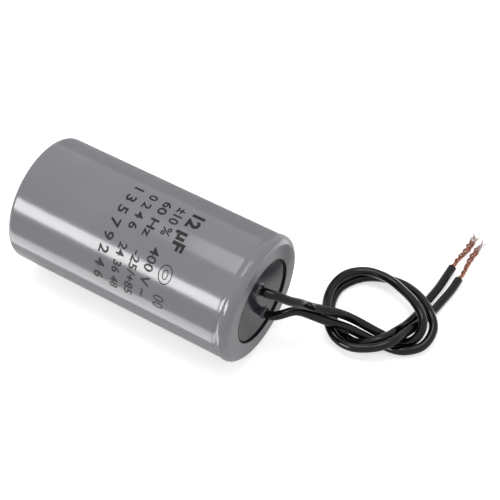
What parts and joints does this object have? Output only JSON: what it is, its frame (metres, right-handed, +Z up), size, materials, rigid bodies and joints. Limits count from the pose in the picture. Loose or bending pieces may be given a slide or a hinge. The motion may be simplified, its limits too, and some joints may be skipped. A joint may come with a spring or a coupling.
{
  "type": "motor run capacitor",
  "caption": "Cylindrical motor run capacitor in a grey sleeved can, lying on its side, with black stranded leads from its resin-filled end tied in a loose knot and bared at the tips.",
  "frame": {"origin": "bottom centre of the can's box, on the surface that it lies on", "axes": "+X along the can's axis towards the end with the leads, +Z up"},
  "size_m": [0.1097, 0.0823, 0.0364],
  "materials": {
    "sleeve": "glossy grey shrunk PVC",
    "can": "drawn, satin",
    "board": "pressed insulating board",
    "film": "wound plastic film",
    "core": "moulded tube",
    "spray": "sprayed metal, rough",
    "solder": "soft solder",
    "resin": "cast dark grey resin",
    "insulation": "black wire insulation",
    "copper": "bare twisted copper strands"
  },
  "bodies": {
    "root": {"shrink_sleeve": "sleeve", "can": "can", "base_disc": "board", "liner": "film", "winding_core": "core", "film_winding": "film", "end_spray_near": "spray", "end_spray_far": "spray", "solder_near": "solder", "solder_far": "solder", "potting": "resin", "lead_tail_a": "insulation", "lead_tail_b": "insulation", "lead_a": "insulation", "lead_b": "insulation", "strands_a": "copper", "strands_b": "copper"}
  },
  "joints": []
}
